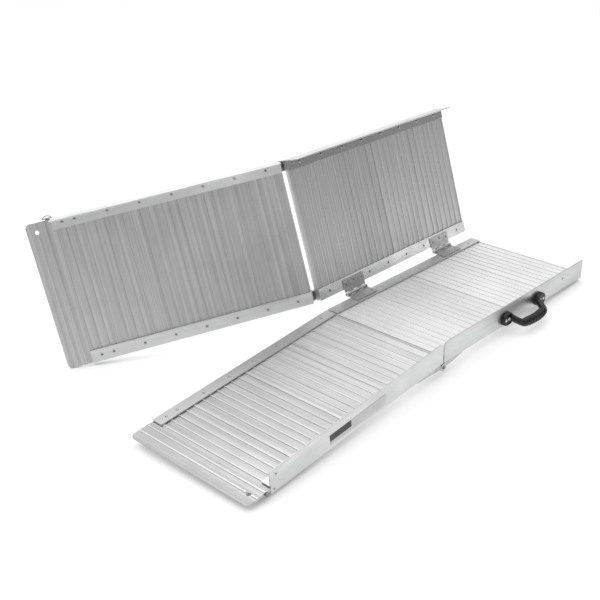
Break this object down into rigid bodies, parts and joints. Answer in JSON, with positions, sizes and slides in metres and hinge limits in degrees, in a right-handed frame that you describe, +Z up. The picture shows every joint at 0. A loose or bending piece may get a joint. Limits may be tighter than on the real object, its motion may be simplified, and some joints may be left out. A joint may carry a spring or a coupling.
{
  "type": "portable wheelchair ramp",
  "caption": "Folding aluminium wheelchair ramp of ribbed planks with side curbs, panel hinges, carry handle and latch.",
  "frame": {"origin": "on the ground under the middle of the ramp's bounding box", "axes": "+Z up; +X along run A towards its upper end; +Y from run A towards run B, so run A's curb and handle face -Y"},
  "size_m": [1.2372, 0.8862, 0.4286],
  "materials": {
    "tread": "ribbed mill finish",
    "rail": "mill finish",
    "rivet": "bright",
    "cross_hinge": "mill finish",
    "hinge_pin": "drawn",
    "butt_hinge": "plated",
    "handle": "moulded, black",
    "screw": "bright",
    "latch": "plated",
    "label": "blank film"
  },
  "bodies": {
    "run_a_upper": {"a_upper_curb_rail": "rail", "a_upper_centre_strip": "rail", "a_upper_rivets": "rivet", "a_upper_outer_hinge_leaf": "cross_hinge", "a_upper_inner_hinge_leaf": "cross_hinge", "a_upper_hinge_rivets": "rivet", "a_upper_plank_1": "tread", "a_upper_plank_2": "tread", "a_upper_plank_3": "tread", "a_upper_plank_4": "tread", "a_upper_outer_hinge_pin": "hinge_pin", "a_upper_inner_hinge_pin": "hinge_pin", "a_upper_carry_handle": "handle", "a_upper_handle_screws": "screw", "a_upper_front_butt_leaf": "butt_hinge", "a_upper_front_butt_pin": "hinge_pin", "a_upper_rear_butt_leaf": "butt_hinge", "a_upper_rear_butt_pin": "hinge_pin", "a_upper_butt_rivets": "rivet"},
    "run_a_lower": {"a_lower_curb_rail": "rail", "a_lower_centre_strip": "rail", "a_lower_rivets": "rivet", "a_lower_outer_hinge_leaf": "cross_hinge", "a_lower_inner_hinge_leaf": "cross_hinge", "a_lower_hinge_rivets": "rivet", "a_lower_plank_1": "tread", "a_lower_plank_2": "tread", "a_lower_plank_3": "tread", "a_lower_plank_4": "tread", "a_lower_latch_stud": "latch", "a_lower_label": "label"},
    "run_b_upper": {"b_upper_curb_rail": "rail", "b_upper_centre_strip": "rail", "b_upper_rivets": "rivet", "b_upper_outer_hinge_leaf": "cross_hinge", "b_upper_inner_hinge_leaf": "cross_hinge", "b_upper_hinge_rivets": "rivet", "b_upper_plank_1": "tread", "b_upper_plank_2": "tread", "b_upper_plank_3": "tread", "b_upper_plank_4": "tread", "b_upper_outer_hinge_pin": "hinge_pin", "b_upper_inner_hinge_pin": "hinge_pin", "b_upper_front_butt_leaf": "butt_hinge", "b_upper_rear_butt_leaf": "butt_hinge", "b_upper_butt_rivets": "rivet"},
    "run_b_lower": {"b_lower_curb_rail": "rail", "b_lower_centre_strip": "rail", "b_lower_rivets": "rivet", "b_lower_outer_hinge_leaf": "cross_hinge", "b_lower_inner_hinge_leaf": "cross_hinge", "b_lower_hinge_rivets": "rivet", "b_lower_plank_1": "tread", "b_lower_plank_2": "tread", "b_lower_plank_3": "tread", "b_lower_plank_4": "tread", "b_lower_ring_clip": "latch"},
    "latch_ring": {"d_ring": "latch"}
  },
  "joints": [
    {"name": "run_a_fold", "type": "hinge", "parent": "run_a_upper", "child": "run_a_lower", "pos_m": [-0.00863, -0.21204, 0.02745], "axis": [0, -0.9998, -0.0211], "range_deg": [-5.6, 174.4]},
    {"name": "runs_close", "type": "hinge", "parent": "run_a_upper", "child": "run_b_upper", "pos_m": [0.29747, -0.02132, 0.05241], "axis": [0.9989, 0.001, -0.0463], "range_deg": [-73, 97]},
    {"name": "run_b_fold", "type": "hinge", "parent": "run_b_upper", "child": "run_b_lower", "pos_m": [0.00099, 0.0642, 0.24077], "axis": [-0.0443, -0.2722, -0.9612], "range_deg": [-36.5, 143.5]},
    {"name": "latch_ring_swing", "type": "hinge", "parent": "run_b_lower", "child": "latch_ring", "pos_m": [-0.4554, 0.41344, 0.35142], "axis": [0.8111, -0.5716, 0.1245], "range_deg": [-90, 90]}
  ]
}
